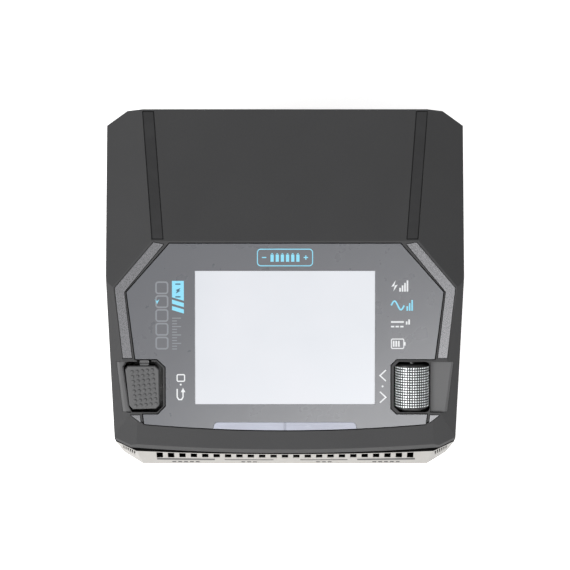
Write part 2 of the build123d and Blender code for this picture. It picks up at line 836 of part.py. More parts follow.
def finned_block(x_low, x_high, y_low, y_high, z_low, z_high, fins):
    """Heatsink with fins along Y."""
    body = block(x_low, x_high, y_low, y_high, z_low, z_high)
    pitch = (x_high - x_low - 1.6) / fins
    for i in range(fins):
        start = x_low + 1.6 + i * pitch
        body = body - block(start, start + pitch - 1.6, y_low - 1, y_high + 1, z_low + 3, z_high + 1)
    return body


def supply_board():
    board = block(0.5, 53, -20, rear_inner_y - 0.4, supply_board_top - board_thick, supply_board_top)
    for x, y in supply_posts:
        board = board - upright(x, y, 20, 30, 1.2)
    for x in busbar_x:
        board = board - block(x - 2.6, x + 2.6, -18.7, -17.3, 20, 30)
    return board


def board_standoffs():
    posts = []
    for x, y in supply_posts:
        post = extrude(Pos(x, y, main_board_top) * RegularPolygon(2.9, 6),
                       supply_board_top - board_thick - main_board_top)
        posts.append(post - upright(x, y, 14, 30, 1.0))
    return group(posts)


def upright_screw(x, y, under_head, length, shank, head):
    screw = upright(x, y, under_head, under_head + 1.4, head) + upright(
        x, y, under_head - length, under_head, shank)
    cross = Box(head * 1.3, 0.5, 1.0) + Box(0.5, head * 1.3, 1.0)
    return screw - Pos(x, y, under_head + 1.2) * cross


def transformer_core():
    """Two E-shaped halves closed round the winding."""
    core = block(19, 47, -2, 16, supply_board_top + 1, supply_board_top + 21)
    for x_low in (22, 37):
        core = core - block(x_low, x_low + 7, -3, 17, supply_board_top + 5, supply_board_top + 17)
    return core


def transformer_winding():
    coil = block(22.2, 43.8, -6, 20, supply_board_top + 5.2, supply_board_top + 16.8)
    coil = fillet(coil.edges().filter_by(Axis.Z), 3.0)
    legs = block(25, 41, -6, -3, supply_board_top, supply_board_top + 5.3) + block(
        25, 41, 17, 20, supply_board_top, supply_board_top + 5.3)
    core = block(29, 37, -2, 16, supply_board_top + 5, supply_board_top + 17)
    return coil + legs - core


# ---------------------------------------------------------------- ports
def xt60_face(inset=0.0):
    """Front outline of the power connector: two corners on one side are cut off."""
    half_w = xt60_wide / 2 - inset
    half_h = xt60_tall / 2 - inset
    cut = 2.6
    return outline([(-half_w, -half_h), (half_w - cut, -half_h), (half_w, -half_h + cut),
                    (half_w, half_h - cut), (half_w - cut, half_h), (-half_w, half_h)])


def facing(y, x, z):
    """Plane across the Y axis: its own x is the part's x and its own y is up."""
    return Plane(origin=(x, y, z), x_dir=(1, 0, 0), z_dir=(0, -1, 0))


def port_prism(face, x, z, y_low, y_high):
    return extrude(facing(y_high, x, z) * face, y_high - y_low, dir=(0, -1, 0))


def contact_places(x):
    return [x - 3.6, x + 3.6]


def xt60_output(x):
    z = main_board_top + xt60_tall / 2
    body = port_prism(xt60_face(), x, z, port_wall_y - 3.0, port_wall_y + 13)
    for cx in contact_places(x):
        body = body - along_y(cx, z, port_wall_y - 4, port_wall_y + 9, 2.7)
    return body


def output_contacts():
    z = main_board_top + xt60_tall / 2
    tubes = []
    for x in (-output_x, output_x):
        for cx in contact_places(x):
            tube = along_y(cx, z, port_wall_y - 2.2, port_wall_y + 9, 2.6)
            tubes.append(tube - along_y(cx, z, port_wall_y - 3, port_wall_y + 7, 1.8))
    return group(tubes)


def balance_port(x):
    z_low = main_board_top
    body = block(x - balance_wide / 2, x + balance_wide / 2, port_wall_y - 2.2, port_wall_y + 9,
                 z_low, z_low + balance_tall)
    body = body - block(x - balance_wide / 2 + 0.9, x + balance_wide / 2 - 0.9, port_wall_y - 3,
                        port_wall_y + 5.6, z_low + 0.9, z_low + balance_tall - 0.9)
    for sx in (-1, 1):
        body = body - block(x + sx * 6 - 1, x + sx * 6 + 1, port_wall_y - 3, port_wall_y + 3,
                            z_low + balance_tall - 1, z_low + balance_tall + 1)
    return body


def balance_pins():
    z = main_board_top + balance_tall / 2 - 0.4
    pins = []
    for x in (-balance_x, balance_x):
        for i in range(7):
            px = x + (i - 3) * 2.5
            pins.append(block(px - 0.32, px + 0.32, port_wall_y - 0.6, port_wall_y + 5.6,
                              z - 0.32, z + 0.32))
    return group(pins)


def xt60_input():
    z = main_board_top + xt60_tall / 2
    body = port_prism(xt60_face(), input_x, z, rear_y - 16, rear_y - 0.3)
    return body - port_prism(xt60_face(0.9), input_x, z, rear_y - 8.5, rear_y + 1)


def input_contacts():
    z = main_board_top + xt60_tall / 2
    pins = [along_y(cx, z, rear_y - 8.5, rear_y - 1.4, 1.75) for cx in contact_places(input_x)]
    return group(pins)


def usb_a_port():
    z = main_board_top
    shell = block(usb_a_x - 6.6, usb_a_x + 6.6, rear_y - 14.5, rear_y - 0.5, z, z + 5.8)
    return shell - block(usb_a_x - 6.2, usb_a_x + 6.2, rear_y - 13, rear_y, z + 0.4, z + 5.4)


def usb_c_port():
    z = main_board_top + 1.65
    outer = RectangleRounded(9.0, 3.3, 1.6)
    inner = RectangleRounded(8.4, 2.7, 1.3)
    shell = port_prism(outer, usb_c_x, z, rear_y - 8.5, rear_y - 0.8)
    return shell - port_prism(inner, usb_c_x, z, rear_y - 7.5, rear_y)


def usb_tongues():
    z = main_board_top
    wide = block(usb_a_x - 5.6, usb_a_x + 5.6, rear_y - 13, rear_y - 2.2, z + 2.9, z + 4.7)
    narrow = block(usb_c_x - 3.3, usb_c_x + 3.3, rear_y - 7.5, rear_y - 2, z + 1.3, z + 2.0)
    return group([wide, narrow])


def inlet_face(inset):
    half_w = inlet_wide / 2 - inset
    half_h = inlet_tall / 2 - inset
    cut = 4.6
    return outline([(-half_w, -half_h), (half_w, -half_h), (half_w, half_h - cut),
                    (half_w - cut, half_h), (-half_w + cut, half_h), (-half_w, half_h - cut)])


def ac_inlet():
    """Appliance inlet: a flange outside the rear panel and a six-sided socket."""
    body = block(inlet_x - inlet_wide / 2, inlet_x + inlet_wide / 2, rear_y - 17, rear_y - wall,
                 inlet_height - inlet_tall / 2, inlet_height + inlet_tall / 2)
    flange = block(inlet_x - 16, inlet_x + 16, rear_y - wall, rear_y - 0.4,
                   inlet_height - 12.0, inlet_height + 12.0)
    flange = chamfer(flange.edges().filter_by(Axis.Y), 1.5)
    return body + flange - port_prism(inlet_face(1.7), inlet_x, inlet_height, rear_y - 15.5, rear_y + 1)


def ac_inlet_pins():
    blades = []
    for dx, dz in ((-7, -2), (0, 2), (7, -2)):
        blades.append(block(inlet_x + dx - 1, inlet_x + dx + 1, rear_y - 15.5, rear_y - 3.4,
                            inlet_height + dz - 2, inlet_height + dz + 2))
    return group(blades)


# ---------------------------------------------------------------- fan
def fan_frame():
    low_y = rear_inner_y - fan_thick
    frame = Pos(fan_x, rear_inner_y - fan_thick / 2, fan_height) * Box(fan_size, fan_thick, fan_size)
    frame = fillet(frame.edges().filter_by(Axis.Y), 3.0)
    frame = frame - along_y(fan_x, fan_height, low_y - 1, rear_inner_y + 1, 24.0)
    hub = along_y(fan_x, fan_height, low_y, low_y + 2, 11.0)
    for angle in (30, 150, 270):
        strut = Pos(fan_x, low_y + 1, fan_height) * Rot(0, angle, 0) * Pos(17, 0, 0) * Box(16, 2, 2.4)
        hub = hub + strut
    frame = frame + hub
    frame = frame - along_y(fan_x, fan_height, low_y - 1, low_y + 4, fan_shaft_radius + running_gap)
    for x, z in fan_screw_places():
        frame = frame - along_y(x, z, low_y - 1, rear_inner_y + 1, 1.9)
    return frame


def fan_rotor():
    """Hub with seven pitched blades."""
    low_y = rear_inner_y - fan_thick + 2.6
    high_y = rear_inner_y - 0.8
    middle = (low_y + high_y) / 2
    blades = None
    for i in range(7):
        blade = Rot(0, i * 360 / 7, 0) * Pos(16, 0, 0) * Rot(38, 0, 0) * Box(17, 1.1, 14.5)
        blades = blade if blades is None else blades + blade
    sweep_room = Rot(90, 0, 0) * (Cylinder(23.2, high_y - low_y) - Cylinder(10.0, high_y - low_y))
    hub = Rot(90, 0, 0) * Cylinder(11.0, high_y - low_y)
    hub = fillet(hub.edges().filter_by(GeomType.CIRCLE).sort_by(Axis.Y)[-1], 1.2)
    rotor = Pos(fan_x, middle, fan_height) * ((blades & sweep_room) + hub)
    return rotor - along_y(fan_x, fan_height, low_y - 1, high_y - 3, fan_shaft_radius)


def fan_shaft():
    low_y = rear_inner_y - fan_thick + 0.2
    return along_y(fan_x, fan_height, low_y, rear_inner_y - 3.8, fan_shaft_radius)


def fan_screws():
    screws = []
    outside = rear_inner_y + rear_panel_thick
    for x, z in fan_screw_places():
        head = chamfer(along_y(x, z, outside, outside + 1.6, 2.9).edges().filter_by(
            GeomType.CIRCLE).sort_by(Axis.Y)[-1], 0.5)
        cross = Pos(x, outside + 1.6, z) * (Box(3.0, 1.4, 0.6) + Box(0.6, 1.4, 3.0))
        screws.append(head - cross + along_y(x, z, outside - 10, outside, 1.7))
    return group(screws)


def case_screws():
    screws = []
    for x, y in screw_posts:
        socket = extrude(Pos(x, y, 14) * RegularPolygon(1.5, 6), 2)
        head = upright(x, y, 14.4, 17, 2.8) - socket
        screws += both(head + upright(x, y, 17, 36, 1.25))
    return group(screws)


def rubber_feet():
    return group([chamfer(upright(x, y, 0, foot_height + 0.6, 5.0).edges().sort_by(Axis.Z)[0], 0.5)
                  for x, y in foot_places()])


# ---------------------------------------------------------------- build
sharp_skin = skin()
outer_skin = fillet(
    [edge for edge in sharp_skin.edges() if edge.center().Z > seam_height + 0.5], edge_radius)
skin_inner = skin(wall, seam_height - 5)
skin_behind_plates = skin(0.8, seam_height)

exit_body, exit_plunger = switch_parts(hinge_x, switch_s, -board_drop, 2.3, -button_depth - 0.2)
press_body, press_plunger = switch_parts(roller_x, 57.3, -roller_board_drop, 2.8, -15.0)

save("top_shell", top_shell())
save("bottom_shell", bottom_shell())
save("rear_panel", rear_panel())
save("display_lens", display_lens())
save("trim_strips", group(both(panel_solid(panel_sketch(trim_outline), 0, -trim_thick))))
save("trim_tips", group(both(panel_solid(panel_sketch(trim_tip_outline), 0, -trim_thick))))
save("roof_strips", group(both(roof_strip())))
save("light_guides", light_guide())
save("thumb_plate_right", thumb_plate(roller_plate_outline))
save("thumb_plate_left", left_of(thumb_plate(button_plate_outline)))
save("rubber_feet", rubber_feet())
save("case_screws", case_screws())
save("rating_plate", Pos(0, 22, foot_height + 0.15) * Box(45.6, 25.6, 0.3))

save("exit_button", left_of(exit_button()))
save("exit_hinge_pin", left_of(hinge_pin(hinge_pin_radius)))
save("exit_switch_plunger", left_of(exit_plunger))
save("roller", roller())
save("roller_axle", slope_rod(
    roller_x, roller_top_s - 2.0, roller_top_s + roller_length + 2.0, -roller_drop, axle_radius))
save("roller_magnet", roller_magnet_ring(axle_radius))
save("roller_carriage", roller_carriage())
save("rotation_sensor", panel_box(roller_x - 2, roller_x + 2, 62.5, 66.0, -11.8, -13.2))
save("guide_posts", group(
    [panel_rod(roller_x, s, -11.5, -roller_board_drop, guide_radius) for s in guide_s]))
save("roller_board", roller_board())
save("switch_bodies", group([left_of(exit_body), press_body]))
save("roller_switch_plunger", press_plunger)

save("lcd_screen", lcd_screen())
save("lcd_frame", lcd_frame())
save("control_board", control_board())
save("control_screws", group(
    [panel_screw(sx * board_screw_x, s, -board_drop - board_thick, 4.2)
     for sx in (-1, 1) for s in board_screw_s]
    + [panel_screw(x, s, -roller_board_drop - board_thick, 5.0) for x, s in roller_board_screws]))
save("status_leds", status_leds())
save("buzzer", panel_rod(-25, 30, -board_drop - board_thick, -board_drop - board_thick - 4.5, 4.6))
save("ribbon_sockets", ribbon_sockets())
save("display_ribbon", display_ribbon())

save("main_board", main_board())
save("output_inductors", output_inductors())
save("filter_capacitors", filter_capacitors())
save("power_transistors", power_transistors())
save("charger_heatsink", finned_block(-45.5, -6, -12, 36, main_board_top + 1.2, 22, 9))
save("board_standoffs", board_standoffs())
save("board_screws", group(
    [upright_screw(x, y, main_board_top, 3.4, 1.0, 2.2) for x, y in main_screw_places()]
    + [upright_screw(x, y, supply_board_top, 6.0, 1.0, 2.2) for x, y in supply_posts]))
save("supply_board", supply_board())
save("bulk_capacitors", group([round_capacitor(10.5, y, supply_board_top, 8.0, 25) for y in (7.5, 27.5)]))
save("transformer_core", transformer_core())
save("transformer_winding", transformer_winding())
save("supply_heatsink", Pos(50.5, 6, supply_board_top + 9) * Box(2, 34, 18))
save("power_busbars", group([block(x - 2.5, x + 2.5, -18.6, -17.4, main_board_top, supply_board_top + 2)
                             for x in busbar_x]))

save("xt60_outputs", group([xt60_output(x) for x in (-output_x, output_x)]))
save("xt60_contacts", group([output_contacts(), input_contacts()]))
save("balance_ports", group([balance_port(x) for x in (-balance_x, balance_x)]))
save("balance_pins", balance_pins())
save("xt60_input", xt60_input())
save("usb_a_port", usb_a_port())
save("usb_c_port", usb_c_port())
save("usb_tongues", usb_tongues())
save("ac_inlet", ac_inlet())
save("ac_inlet_pins", ac_inlet_pins())

save("fan_frame", fan_frame())
save("fan_rotor", fan_rotor())
save("fan_shaft", fan_shaft())
save("fan_screws", fan_screws())
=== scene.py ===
"""Looks for the balance battery charger: materials, printed graphics, the knurled roller, lights and camera.

Lengths are in metres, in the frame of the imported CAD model: +X right, +Y to the rear, +Z up.
"""

import json
import math

import bmesh
import bpy
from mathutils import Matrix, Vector


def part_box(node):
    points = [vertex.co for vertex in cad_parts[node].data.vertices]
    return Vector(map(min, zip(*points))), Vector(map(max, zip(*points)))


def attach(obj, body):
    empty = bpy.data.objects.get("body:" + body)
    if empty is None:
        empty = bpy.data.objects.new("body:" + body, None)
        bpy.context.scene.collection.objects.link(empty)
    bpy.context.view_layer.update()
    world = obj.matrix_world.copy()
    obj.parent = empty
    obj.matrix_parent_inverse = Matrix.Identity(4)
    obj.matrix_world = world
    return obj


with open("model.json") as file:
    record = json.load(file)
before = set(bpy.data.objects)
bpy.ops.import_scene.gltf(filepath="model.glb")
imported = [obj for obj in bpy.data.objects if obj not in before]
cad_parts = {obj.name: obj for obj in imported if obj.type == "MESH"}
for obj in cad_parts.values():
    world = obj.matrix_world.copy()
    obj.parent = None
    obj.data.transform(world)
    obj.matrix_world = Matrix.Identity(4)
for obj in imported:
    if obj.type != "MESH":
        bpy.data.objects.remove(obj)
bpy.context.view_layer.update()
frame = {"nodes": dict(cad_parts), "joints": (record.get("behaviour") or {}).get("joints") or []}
scene = bpy.context.scene
mm = 0.001

joints = {joint["name"]: joint for joint in frame["joints"]}


# ---------------------------------------------------------------- the sloping control panel

panel_normal = -Vector(joints["roller_press"]["axis"]).normalized()
panel_down = Vector((0, -panel_normal.z, panel_normal.y))
lens_thickness = 1.2 * mm
lens_top_edge = 1.05 * mm  # how far down the slope from the fold the lens starts

lens_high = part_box("display_lens")[1]
lens_edge = Vector((0, lens_high.y + lens_thickness * panel_normal.y, lens_high.z))
fold = lens_edge - panel_down * lens_top_edge


def on_panel(across, down, level=0.0):
    """The point that is so many millimetres right of the middle, down the slope and above the panel."""
    place = fold + panel_down * (down * mm) + panel_normal * (level * mm)
    return place + Vector((across * mm, 0, 0))


# The base's front leans out towards its straight lower edge and is slightly bowed at its top.
base_low, base_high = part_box("bottom_shell")
visor_trim = 0.1 * mm  # how much is cut off its lower edge
visor_front = base_low.y - visor_trim
visor_underside = 15.0 * mm
visor_top = base_high.z
groove_tall = 1.65 * mm  # the shadow groove under the dark casing
groove_floor = visor_top - groove_tall
lean = 1.2 * mm  # how much farther back the top is than the lower edge
bow = 1.5 * mm  # how much farther back the top's ends are than its middle
bow_half = 58.5 * mm  # half width of the front at its top
front_half = 55.7 * mm  # half width of the front at its lower edge


def on_front(across, height, level=0.0):
    """The point so many millimetres right of the middle, above the table and out of the base's front."""
    up = (height * mm - visor_underside) / (visor_top - visor_underside)
    half = front_half + (bow_half - front_half) * up
    back = up * (lean + bow * (across * mm / half) ** 2)
    return Vector((across * mm, visor_front + back - level * mm, height * mm))


# ---------------------------------------------------------------- the roller

roller_axis = Vector(joints["roller_spin"]["axis"]).normalized()
roller_middle = Vector(joints["roller_spin"]["pos_m"])
roller_low, roller_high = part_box("roller")
roller_rim = (roller_high.x - roller_low.x) / 2
rim_step = 0.5 * mm  # how far the rims stand out over the waist
roller_waist = roller_rim - rim_step
stud_band = 16.1 * mm  # length of the knurled waist


# ---------------------------------------------------------------- material tools


class Finish:
    """One procedural material: a Principled shader and short ways to add nodes in front of it."""

    def __init__(self, name, roughness=0.5, **sockets):
        self.material = bpy.data.materials.new(name)
        self.material.use_nodes = True
        self.tree = self.material.node_tree
        self.shader = self.tree.nodes["Principled BSDF"]
        self.place = self.add("ShaderNodeTexCoord").outputs["Object"]
        self.shader.inputs["Roughness"].default_value = roughness
        for socket, value in sockets.items():
            self.shader.inputs[socket.replace("_", " ")].default_value = value

    def add(self, kind, inputs=None, **settings):
        """A node of that kind, with its settings, and its inputs linked or set."""
        node = self.tree.nodes.new(kind)
        for setting, value in settings.items():
            setattr(node, setting, value)
        for socket, value in (inputs or {}).items():
            if isinstance(value, bpy.types.NodeSocket):
                self.tree.links.new(value, node.inputs[socket])
            else:
                node.inputs[socket].default_value = value
        return node

    def link(self, output, socket):
        self.tree.links.new(output, self.shader.inputs[socket])

    def math(self, operation, first, second=0.0, clamp=False):
        inputs = {0: first, 1: second}
        return self.add("ShaderNodeMath", inputs, operation=operation, use_clamp=clamp).outputs[0]

    def vector(self, operation, first, second=None, result="Vector"):
        inputs = {0: first} if second is None else {0: first, 1: second}
        return self.add("ShaderNodeVectorMath", inputs, operation=operation).outputs[result]

    def noise(self, size, detail=2.0, stretch=(1, 1, 1)):
        """Smooth noise whose lumps are about that many metres across, longer by stretch along each axis."""
        scale = [1 / (size * part) for part in stretch]
        place = self.add("ShaderNodeMapping", {"Vector": self.place, "Scale": scale}).outputs[0]
        return self.add("ShaderNodeTexNoise", {"Vector": place, "Scale": 1.0, "Detail": detail}).outputs[0]

    def speckle(self, size):
        """A random value for each cell of about that size."""
        inputs = {"Vector": self.place, "Scale": 1 / size}
        cells = self.add("ShaderNodeTexVoronoi", inputs, feature="F1")
        return self.add("ShaderNodeSeparateColor", {0: cells.outputs["Color"]}).outputs[0]

    def ramp(self, value, low, high, out_low=0.0, out_high=1.0):
        """Maps low..high of the value to out_low..out_high."""
        inputs = {0: value, 1: low, 2: high, 3: out_low, 4: out_high}
        return self.add("ShaderNodeMapRange", inputs, clamp=True).outputs[0]

    def spread(self, noise, out_low=0.0, out_high=1.0):
        """Maps the span that nearly all smooth noise falls in to out_low..out_high."""
        return self.ramp(noise, 0.3, 0.7, out_low, out_high)

    def depth_under(self, point, normal):
        """How many metres the place lies behind a plane, given by a point and its outward normal."""
        offset = self.vector("SUBTRACT", tuple(point), self.place)
        return self.vector("DOT_PRODUCT", offset, tuple(normal), "Value")

    def axis_parts(self):
        """The place's X, Y and Z."""
        return self.add("ShaderNodeSeparateXYZ", {0: self.place}).outputs

    def both_of(self, *shares):
        """The product of several shares: 1 only where all of them are 1."""
        product = shares[0]
        for share in shares[1:]:
            product = self.math("MULTIPLY", product, share)
        return product

    def above(self, value, limit, soft=0.02 * mm):
        """1 where the value is over the limit and 0 where it is under, with a short step between."""
        return self.ramp(value, limit - soft, limit + soft)

    def below(self, value, limit, soft=0.02 * mm):
        """1 where the value is under the limit and 0 where it is over."""
        return self.ramp(value, limit - soft, limit + soft, 1.0, 0.0)

    def mix(self, share, first, second):
        """The first colour where share is 0 and the second where it is 1."""
        inputs = {"Factor": share, 6: first, 7: second}
        return self.add("ShaderNodeMix", inputs, data_type="RGBA").outputs[2]

    def edges(self, radius, sharpness=4.0):
        """1 along sharp edges and 0 on flats, from how far a rounded normal leans from the true one."""
        rounded = self.add("ShaderNodeBevel", {"Radius": radius}, samples=4).outputs[0]
        true = self.add("ShaderNodeNewGeometry").outputs["Normal"]
        facing = self.vector("DOT_PRODUCT", rounded, true, "Value")
        return self.math("MULTIPLY", self.math("SUBTRACT", 1.0, facing), sharpness, clamp=True)

    def bump(self, height, depth, radius=0.0):
        """Raises the surface by depth metres where height is 1, over edges rounded by radius."""
        inputs = {"Height": height, "Distance": depth}
        if radius:
            inputs["Normal"] = self.add("ShaderNodeBevel", {"Radius": radius}, samples=4).outputs[0]
        self.link(self.add("ShaderNodeBump", inputs).outputs[0], "Normal")


# Painted shade: black, with its shine taken down, put on gap walls, inside the vents and in the roller's
# valleys, where shadow falls
painted_shade_black = (0.004, 0.004, 0.004, 1)
painted_shade_gloss = 0.05  # specular level of the painted shade, so that nothing shines inside a gap
# Width of the edges painted lighter, partly as rubbing wear and partly as a painted highlight
wear_and_highlight_radius = 0.16 * mm
painted_shade_depth = 0.04 * mm  # how far below the panel's face a part's side walls begin to be painted black as shade


def shade(colour, factor):
    """The colour made lighter or darker by a factor, with full cover."""
    return (*[min(1.0, part * factor) for part in colour], 1.0)


def moulded(
    name, colour, roughness=0.5, grain=0.35 * mm, depth=0.012 * mm, wear_and_highlight=1.5, round_by=0.15 * mm, gloss=0.5,
    painted_shade=None,
):
    """Moulded plastic: spark-eroded grain, slow changes of tone, and edges painted lighter, partly as rubbing
    wear and partly as a painted highlight.

    Where the function given for the painted shade gives a share of 1, the plastic is painted black as shade,
    with its shine taken down.
    """
    finish = Finish(name, roughness, Specular_IOR_Level=gloss)
    slow = finish.noise(28 * mm, detail=3)
    fine = finish.noise(grain, detail=3)
    tone = finish.mix(finish.spread(slow), shade(colour, 0.96), shade(colour, 1.04))
    pitted = finish.mix(finish.spread(fine, 0, 0.5), tone, shade(colour, 0.85))
    rubbed = finish.spread(finish.noise(4 * mm), 0.35, 0.9)
    # Edges painted lighter: rubbing wear in noisy patches, and also a painted highlight along the edge
    lightened_edges = finish.math("MULTIPLY", finish.edges(wear_and_highlight_radius), rubbed)
    painted = finish.mix(lightened_edges, pitted, shade(colour, wear_and_highlight))
    # Painted shade: black and nearly without shine where the painted-shade share is 1
    if painted_shade:
        shade_share = painted_shade(finish)
        painted = finish.mix(shade_share, painted, painted_shade_black)
        finish.link(finish.ramp(shade_share, 0, 1, gloss, painted_shade_gloss), "Specular IOR Level")
    finish.link(painted, "Base Color")
    rough = finish.ramp(finish.math("ADD", slow, fine), 0.6, 1.4, roughness - 0.06, roughness + 0.08)
    finish.link(rough, "Roughness")
    finish.bump(fine, depth, round_by)
    return finish.material


def metal(name, colour, roughness, stretch=(1, 1, 1), grain=0.12 * mm, depth=0.002 * mm, tarnish=0.85):
    """Bare metal: fine draw lines or grain along stretch, uneven polish and slightly dulled patches."""
    finish = Finish(name, roughness, Metallic=1.0)
    lines = finish.noise(grain, detail=4, stretch=stretch)
    patches = finish.noise(6 * mm, detail=4)
    dull = finish.ramp(patches, 0.35, 0.75, 0, 0.8)
    finish.link(finish.mix(dull, shade(colour, 1.0), shade(colour, tarnish)), "Base Color")
    rough = finish.ramp(finish.math("ADD", lines, patches), 0.7, 1.3, roughness - 0.05, roughness + 0.1)
    finish.link(rough, "Roughness")
    finish.bump(lines, depth, 0.08 * mm)
    return finish.material


# ---------------------------------------------------------------- the finish of each material slot


# The joint in front of the lens is bowed. The outer joints of the trims are straight, and each is given by
# its slope and by its reach, which is how far from the middle it would meet the fold.

lens_front = 74.75 * mm  # how far down the panel the front joint lies at its middle
lens_bow = 2.4 * mm  # how much nearer the fold it is at that half width
lens_bow_half = 54.85 * mm
fold_margin = 0.4 * mm
trim_side_slope, trim_side_reach = 0.129, 68.5 * mm
trim_rear_slope, trim_rear_reach = 0.825, 50.6 * mm
trim_corner_slope, trim_corner_reach = 1.1146, 135.4 * mm

well_middle = -2.75 * mm  # midway between the inner sides of the two control openings
well_half = 44.25 * mm  # half the distance between those sides
well_rear, well_front = 46.9 * mm, 67.6 * mm
well_start = 0.7 * mm  # how deep the painted shade, black, begins in an opening


def panel_painted_shade(finish):
    """Painted shade: where the dark casing is painted black, on the walls of the gaps round the lens and
    trims, and from a little deeper down in the two control openings.
    """
    across = finish.axis_parts()[0]
    beside = finish.math("ABSOLUTE", across)
    down = finish.depth_under(fold, -panel_down)
    depth = finish.depth_under(fold, panel_normal)
    from_well_middle = finish.math("ABSOLUTE", finish.math("SUBTRACT", across, well_middle))
    in_well = finish.both_of(
        finish.above(from_well_middle, well_half),
        finish.above(down, well_rear),
        finish.below(down, well_front),
    )
    start = finish.ramp(in_well, 0, 1, painted_shade_depth, well_start)
    deep = finish.above(finish.math("SUBTRACT", depth, start), 0.0)
    side_line = finish.math("ADD", beside, finish.math("MULTIPLY", down, trim_side_slope))
    rear_line = finish.math("SUBTRACT", beside, finish.math("MULTIPLY", down, trim_rear_slope))
    corner_line = finish.math("ADD", beside, finish.math("MULTIPLY", down, trim_corner_slope))
    bowed = finish.math("MULTIPLY", finish.math("MULTIPLY", across, across), lens_bow / lens_bow_half**2)
    front_line = finish.math("ADD", down, bowed)
    return finish.both_of(
        deep,
        finish.below(side_line, trim_side_reach),
        finish.below(rear_line, trim_rear_reach),
        finish.below(corner_line, trim_corner_reach),
        finish.above(down, fold_margin),
        finish.below(front_line, lens_front),
    )


visor_skin = 0.3 * mm  # how much of a vent's wall keeps the casing's colour before the painted shade
visor_reach = 9 * mm  # how far behind the front the vents are painted black as shade
corner_reach = 63.2 * mm
corner_facing = (0.531, -0.8455, 0.0564)  # the right corner's outward normal


def visor_painted_shade(finish):
    """Painted shade on the grey base: black where the front and corner vents are seen into, and in the shadow
    groove under the dark casing.
    """
    across, along, upward = finish.axis_parts()
    up = finish.ramp(upward, visor_underside, visor_top)
    bowed = finish.math("MULTIPLY", finish.math("MULTIPLY", across, across), bow / bow_half**2)
    face = finish.math("MULTIPLY", up, finish.math("ADD", bowed, lean))
    front_depth = finish.math("SUBTRACT", finish.math("SUBTRACT", along, visor_front), face)
    facing_x, facing_y, facing_z = corner_facing
    corner_depth = []
    for side in (-1, 1):
        corner = (side * front_half, visor_front, visor_underside)
        corner_depth.append(finish.depth_under(corner, (side * facing_x, facing_y, facing_z)))
    behind_front = finish.both_of(
        finish.above(front_depth, visor_skin),
        finish.below(along, visor_front + visor_reach),
        finish.above(corner_depth[0], visor_skin),
        finish.above(corner_depth[1], visor_skin),
        finish.below(finish.math("ABSOLUTE", across), corner_reach),
        finish.above(upward, visor_underside + visor_skin),
    )
    return finish.math("MAXIMUM", behind_front, finish.above(upward, groove_floor))


def dark_plastic():
    colour = (0.042, 0.042, 0.043)
    # The casing gets painted shade, black, on the walls of its panel gaps and control openings
    return moulded("dark_plastic_look", colour, 0.5, wear_and_highlight=2.3, gloss=0.25, painted_shade=panel_painted_shade)


def grey_plastic():
    # The grey base gets painted shade, black, inside its vents and in the groove under the casing
    return moulded("grey_plastic_look", (0.36, 0.347, 0.328), 0.5, wear_and_highlight=1.1, painted_shade=visor_painted_shade)


def lens_grey():
    """A clear sheet printed grey behind: an even tone with a fine metallic fleck, under a hard gloss, and its
    side walls painted black as shade.
    """
    colour = (0.072, 0.075, 0.086)
    finish = Finish("lens_grey_look", 0.28, Coat_Weight=0.9, Coat_Roughness=0.15)
    fleck = finish.speckle(0.08 * mm)
    slow = finish.noise(35 * mm, detail=2)
    tone = finish.mix(finish.spread(slow), shade(colour, 0.985), shade(colour, 1.015))
    face = finish.mix(finish.ramp(fleck, 0.85, 1, 0, 0.15), tone, shade(colour, 1.3))
    # Painted shade: the side walls below the face are black
    side = finish.above(finish.depth_under(fold, panel_normal), painted_shade_depth)
    finish.link(finish.mix(side, face, painted_shade_black), "Base Color")
    finish.link(finish.spread(finish.noise(9 * mm, detail=5), 0.26, 0.32), "Roughness")
    finish.bump(finish.noise(0.6 * mm), 0.001 * mm, 0.1 * mm)
    return finish.material


def silver_trim():
    """Silver paint: bright flakes in a grey coat, with a slight orange-peel surface, edges painted lighter as
    a highlight and side walls painted black as shade.
    """
    colour = (0.125, 0.125, 0.132)
    finish = Finish("silver_trim_look", 0.3, Metallic=0.5, Coat_Weight=0.6, Coat_Roughness=0.15)
    flake = finish.speckle(0.12 * mm)
    tone = finish.mix(finish.ramp(flake, 0.1, 0.9), shade(colour, 0.88), shade(colour, 1.15))
    # Painted highlight along the edges, and painted shade, black, on the side walls below the face
    lightened_edges = finish.edges(0.3 * mm)
    side = finish.above(finish.depth_under(fold, panel_normal), painted_shade_depth)
    finish.link(finish.mix(side, finish.mix(lightened_edges, tone, shade(colour, 1.6)), painted_shade_black), "Base Color")
    finish.link(finish.ramp(flake, 0, 1, 0.24, 0.36), "Roughness")
    finish.bump(finish.noise(0.4 * mm, detail=3), 0.008 * mm, 0.12 * mm)
    return finish.material


def plate_grey():
    colour = (0.083, 0.083, 0.085)
    return moulded("plate_grey_look", colour, 0.46, grain=0.25 * mm, wear_and_highlight=1.6, round_by=0.1 * mm)


def strip_rubber():
    """Soft-touch strip: long fine ribs of grain along it and a dry surface."""
    colour = (0.016, 0.016, 0.017)
    finish = Finish("strip_rubber_look", 0.62)
    lines = finish.noise(0.3 * mm, detail=3, stretch=(1, 6, 1))
    dust = finish.noise(7 * mm, detail=5)
    dusty = finish.ramp(dust, 0.4, 0.8, 0, 0.6)
    finish.link(finish.mix(dusty, shade(colour, 0.9), shade(colour, 1.5)), "Base Color")
    finish.link(finish.spread(lines, 0.55, 0.7), "Roughness")
    finish.bump(lines, 0.015 * mm, 0.1 * mm)
    return finish.material


def foot_rubber():
    return moulded("foot_rubber_look", (0.016, 0.016, 0.016), 0.75, grain=0.2 * mm, depth=0.02 * mm, wear_and_highlight=2.2)


